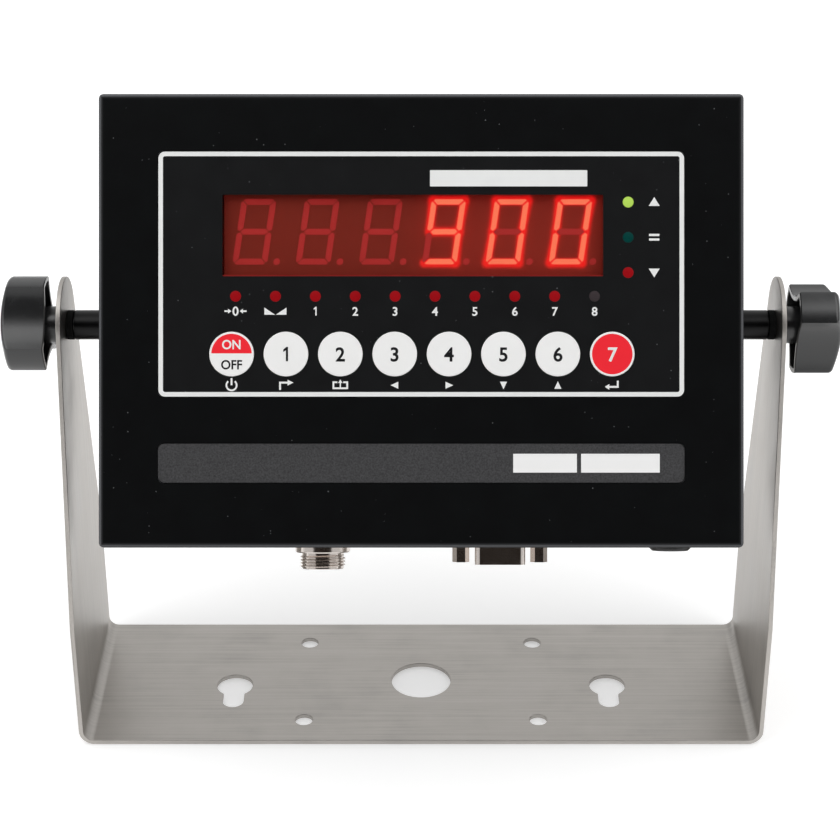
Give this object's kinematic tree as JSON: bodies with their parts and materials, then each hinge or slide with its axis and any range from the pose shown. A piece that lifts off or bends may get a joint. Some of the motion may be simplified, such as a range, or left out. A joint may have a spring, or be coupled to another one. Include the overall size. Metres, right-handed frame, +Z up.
{
  "type": "weighing indicator",
  "caption": "Weight display box with a lit digit window, a row of round keys and sockets below, tilting in a bent sheet bracket held by lobed knobs.",
  "frame": {"origin": "centre of the bracket's cable hole, on the underside of the base", "axes": "+X to the right along the bracket's base, -Y to the front, +Z up"},
  "size_m": [0.269, 0.1172, 0.2147],
  "materials": {
    "stainless": "brushed along the sheet",
    "rubber": "dull",
    "case_paint": "satin black paint with a fine grain",
    "gasket": "dull",
    "screw_steel": "zinc plated",
    "film": "satin film with a white printed border",
    "red_window": "dark red, smooth",
    "strip": "fine leather grain",
    "field_white": "paper white",
    "circuit_board": "solder mask",
    "digit_housing": "tinted face",
    "lamp_red": "diffused lens",
    "lamp_mixed": "diffused lens",
    "switch_plastic": "moulded",
    "dome_steel": "plated",
    "key_white": "printed film, satin",
    "key_red": "printed film, satin",
    "chip": "moulded",
    "header_plastic": "moulded",
    "wire_sleeve": "soft sleeve",
    "battery_case": "moulded",
    "bracket_zinc": "zinc plated",
    "nickel": "nickel plated, bright",
    "insulator": "moulded",
    "inlet_plastic": "moulded",
    "nut_steel": "zinc plated",
    "spacer_plastic": "satin",
    "knob_plastic": "semi-gloss",
    "brass": "turned"
  },
  "bodies": {
    "stand": {"bracket": "stainless", "washer_left": "rubber", "washer_right": "rubber"},
    "head": {"front_case": "case_paint", "rear_cover": "case_paint", "cover_gasket": "gasket", "cover_screws": "screw_steel", "display_board_screws": "screw_steel", "main_board_screws": "screw_steel", "battery_screws": "screw_steel", "charger_screws": "screw_steel", "keypad_film": "film", "display_window": "red_window", "label_strip": "strip", "label_fields": "field_white", "display_board": "circuit_board", "main_board": "circuit_board", "charger_board": "circuit_board", "digit_modules": "digit_housing", "status_lamps": "lamp_red", "limit_lamps": "lamp_mixed", "key_switches": "switch_plastic", "switch_domes": "dome_steel", "main_board_parts": "chip", "board_link": "chip", "wire_headers": "header_plastic", "socket_wires": "wire_sleeve", "battery": "battery_case", "battery_bracket": "bracket_zinc", "cell_socket": "nickel", "cell_nut": "nickel", "serial_shell": "nickel", "serial_posts": "nickel", "cell_insert": "insulator", "serial_insert": "insulator", "power_inlet": "inlet_plastic", "inlet_nut": "nut_steel", "stud_left": "nut_steel", "stud_right": "nut_steel", "stud_nut_left": "nut_steel", "stud_nut_right": "nut_steel", "spacer_left": "spacer_plastic", "spacer_right": "spacer_plastic"},
    "key_1": {"key_1": "key_white"},
    "key_2": {"key_2": "key_white"},
    "key_3": {"key_3": "key_white"},
    "key_4": {"key_4": "key_white"},
    "key_5": {"key_5": "key_white"},
    "key_6": {"key_6": "key_white"},
    "key_7": {"key_7": "key_white"},
    "key_8": {"key_8": "key_red"},
    "left_knob": {"knob_left": "knob_plastic", "knob_insert_left": "brass"},
    "right_knob": {"knob_right": "knob_plastic", "knob_insert_right": "brass"}
  },
  "joints": [
    {"name": "head_tilt", "type": "hinge", "parent": "stand", "child": "head", "pos_m": [0, 0, 0.1395], "axis": [1, 0, 0], "continuous": true},
    {"name": "key_1_press", "type": "slide", "parent": "head", "child": "key_1", "axis": [0, 0.8829, -0.4695], "range_m": [0, 0.0004], "stiffness_N_per_m": 500, "springref_m": -0.001},
    {"name": "key_2_press", "type": "slide", "parent": "head", "child": "key_2", "axis": [0, 0.8829, -0.4695], "range_m": [0, 0.0004], "stiffness_N_per_m": 500, "springref_m": -0.001},
    {"name": "key_3_press", "type": "slide", "parent": "head", "child": "key_3", "axis": [0, 0.8829, -0.4695], "range_m": [0, 0.0004], "stiffness_N_per_m": 500, "springref_m": -0.001},
    {"name": "key_4_press", "type": "slide", "parent": "head", "child": "key_4", "axis": [0, 0.8829, -0.4695], "range_m": [0, 0.0004], "stiffness_N_per_m": 500, "springref_m": -0.001},
    {"name": "key_5_press", "type": "slide", "parent": "head", "child": "key_5", "axis": [0, 0.8829, -0.4695], "range_m": [0, 0.0004], "stiffness_N_per_m": 500, "springref_m": -0.001},
    {"name": "key_6_press", "type": "slide", "parent": "head", "child": "key_6", "axis": [0, 0.8829, -0.4695], "range_m": [0, 0.0004], "stiffness_N_per_m": 500, "springref_m": -0.001},
    {"name": "key_7_press", "type": "slide", "parent": "head", "child": "key_7", "axis": [0, 0.8829, -0.4695], "range_m": [0, 0.0004], "stiffness_N_per_m": 500, "springref_m": -0.001},
    {"name": "key_8_press", "type": "slide", "parent": "head", "child": "key_8", "axis": [0, 0.8829, -0.4695], "range_m": [0, 0.0004], "stiffness_N_per_m": 500, "springref_m": -0.001},
    {"name": "left_knob_turn", "type": "hinge", "parent": "head", "child": "left_knob", "pos_m": [-0.125, 0, 0.1395], "axis": [1, 0, 0], "continuous": true},
    {"name": "right_knob_turn", "type": "hinge", "parent": "head", "child": "right_knob", "pos_m": [0.125, 0, 0.1395], "axis": [1, 0, 0], "continuous": true}
  ]
}
